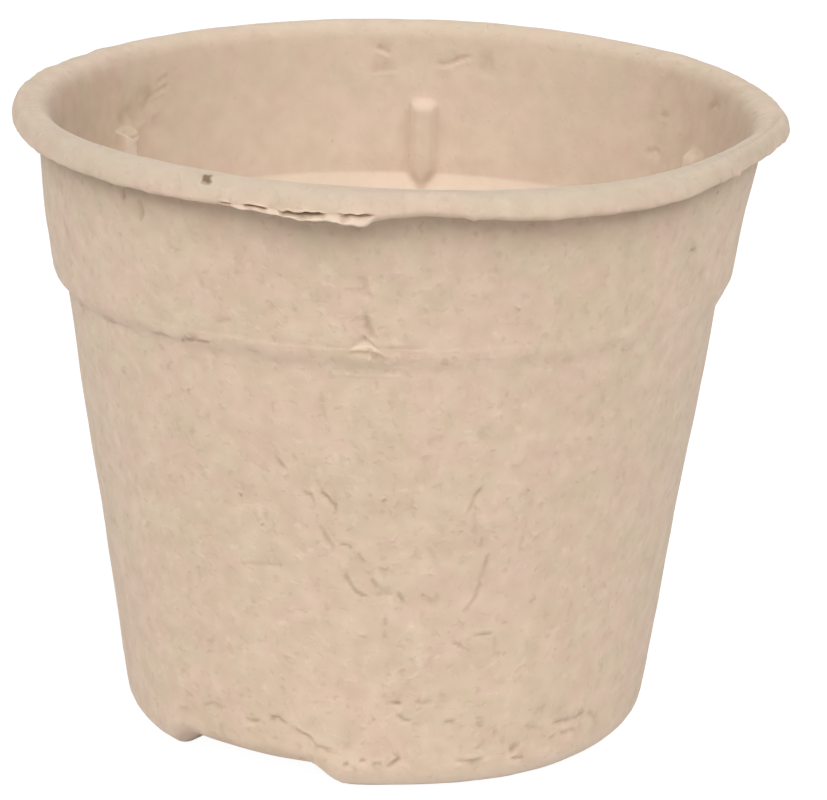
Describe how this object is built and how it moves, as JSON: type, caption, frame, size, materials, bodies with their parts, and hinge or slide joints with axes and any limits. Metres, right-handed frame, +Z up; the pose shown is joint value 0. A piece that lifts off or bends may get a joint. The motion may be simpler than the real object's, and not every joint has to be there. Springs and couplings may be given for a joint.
{
  "type": "plant pot",
  "caption": "Round tapered plant pot of moulded paper pulp with a flared lip, stepped collar, stacking lugs and a drain channel under the base.",
  "frame": {"origin": "on the pot's axis, on the plane that its two feet stand on", "axes": "+Z up along the pot's axis, -Y towards the picture's viewer, +X to the viewer's right"},
  "size_m": [0.12, 0.12, 0.099],
  "materials": {
    "pulp": "dry matt moulded paper pulp, beige, with fine fibres, flecks and soft mottling"
  },
  "bodies": {
    "root": {"rim_lip": "pulp", "collar_wall": "pulp", "shoulder_step": "pulp", "body_wall": "pulp", "heel_left": "pulp", "heel_right": "pulp", "floor_left": "pulp", "floor_right": "pulp", "drain_channel_roof": "pulp", "drain_arch_front": "pulp", "drain_arch_back": "pulp", "stacking_lug_1": "pulp", "stacking_lug_2": "pulp", "stacking_lug_3": "pulp", "stacking_lug_4": "pulp", "stacking_lug_5": "pulp", "stacking_lug_6": "pulp"}
  },
  "joints": []
}
